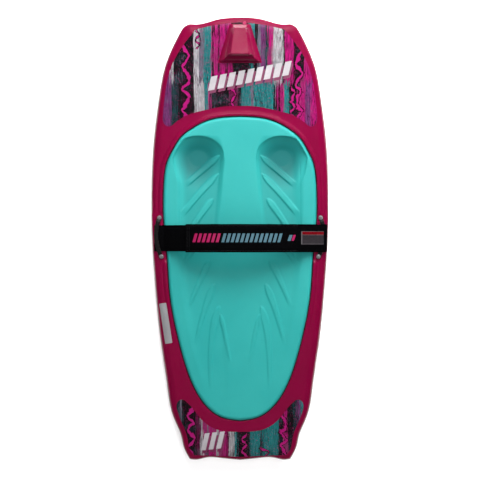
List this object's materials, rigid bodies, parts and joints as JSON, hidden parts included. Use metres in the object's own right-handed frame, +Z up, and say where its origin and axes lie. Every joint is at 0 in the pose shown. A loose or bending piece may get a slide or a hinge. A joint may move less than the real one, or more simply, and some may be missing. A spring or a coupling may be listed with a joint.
{
  "type": "kneeboard",
  "caption": "Towed kneeboard: foam-filled moulded shell with tow hook, contoured knee pad, printed decks and a thigh strap that peels open.",
  "frame": {"origin": "on the ground under the middle of the board's length and width, hull flat on the ground", "axes": "+Z up, +Y towards the nose, +X to the rider's right"},
  "size_m": [0.5146, 1.2704, 0.1201],
  "materials": {
    "shell": "gloss moulded polyethylene, magenta",
    "foam": "cream rigid polyurethane foam, poured in the shell",
    "plug": "magenta nylon, satin",
    "pad": "teal moulded EVA foam with a fine skin",
    "nose_decal": "printed film, pink, teal, black and white streaks",
    "tail_decal": "printed film, pink, teal, black and white streaks",
    "label": "plain grey vinyl",
    "bracket": "black powder coat on steel",
    "screw": "stainless steel, pan head",
    "insert": "plain brass",
    "webbing": "black padded nylon webbing",
    "loop_pile": "black loop pile",
    "hooks": "black hook tape",
    "patch": "dark grey sewn patch with a red band, no lettering",
    "thread": "black polyester thread"
  },
  "bodies": {
    "board": {"shell": "shell", "foam_core": "foam", "drain_plug": "plug", "knee_pad": "pad", "nose_decal": "nose_decal", "tail_decal": "tail_decal", "side_label": "label", "strap_bracket_left": "bracket", "strap_bracket_right": "bracket", "bracket_screws_left": "screw", "bracket_screws_right": "screw", "bracket_washers_left": "screw", "bracket_washers_right": "screw", "threaded_inserts_left": "insert", "threaded_inserts_right": "insert", "strap_webbing": "webbing", "strap_loop_pile": "loop_pile", "strap_label_patch": "patch"},
    "flap_1": {"strap_flap_1": "webbing", "strap_hooks_1": "hooks"},
    "flap_2": {"strap_flap_2": "webbing", "strap_hooks_2": "hooks"},
    "flap_3": {"strap_flap_3": "webbing", "strap_hooks_3": "hooks"},
    "flap_4": {"strap_flap_4": "webbing", "strap_hooks_4": "hooks", "flap_end_stitching": "thread"}
  },
  "joints": [
    {"name": "strap_peel_1", "type": "hinge", "parent": "board", "child": "flap_1", "pos_m": [0.165, 0.005, 0.08696], "axis": [0, 1, 0], "range_deg": [0, 40]},
    {"name": "strap_peel_2", "type": "hinge", "parent": "flap_1", "child": "flap_2", "pos_m": [0.085, 0.005, 0.11156], "axis": [0, 1, 0], "range_deg": [0, 40]},
    {"name": "strap_peel_3", "type": "hinge", "parent": "flap_2", "child": "flap_3", "pos_m": [0.005, 0.005, 0.12007], "axis": [0, 1, 0], "range_deg": [0, 40]},
    {"name": "strap_peel_4", "type": "hinge", "parent": "flap_3", "child": "flap_4", "pos_m": [-0.075, 0.005, 0.11347], "axis": [0, 1, 0], "range_deg": [0, 40]}
  ],
  "couplings": [
    {"joint": "strap_peel_2", "follows": "strap_peel_1", "ratio": 1},
    {"joint": "strap_peel_3", "follows": "strap_peel_1", "ratio": 1},
    {"joint": "strap_peel_4", "follows": "strap_peel_1", "ratio": 1}
  ]
}
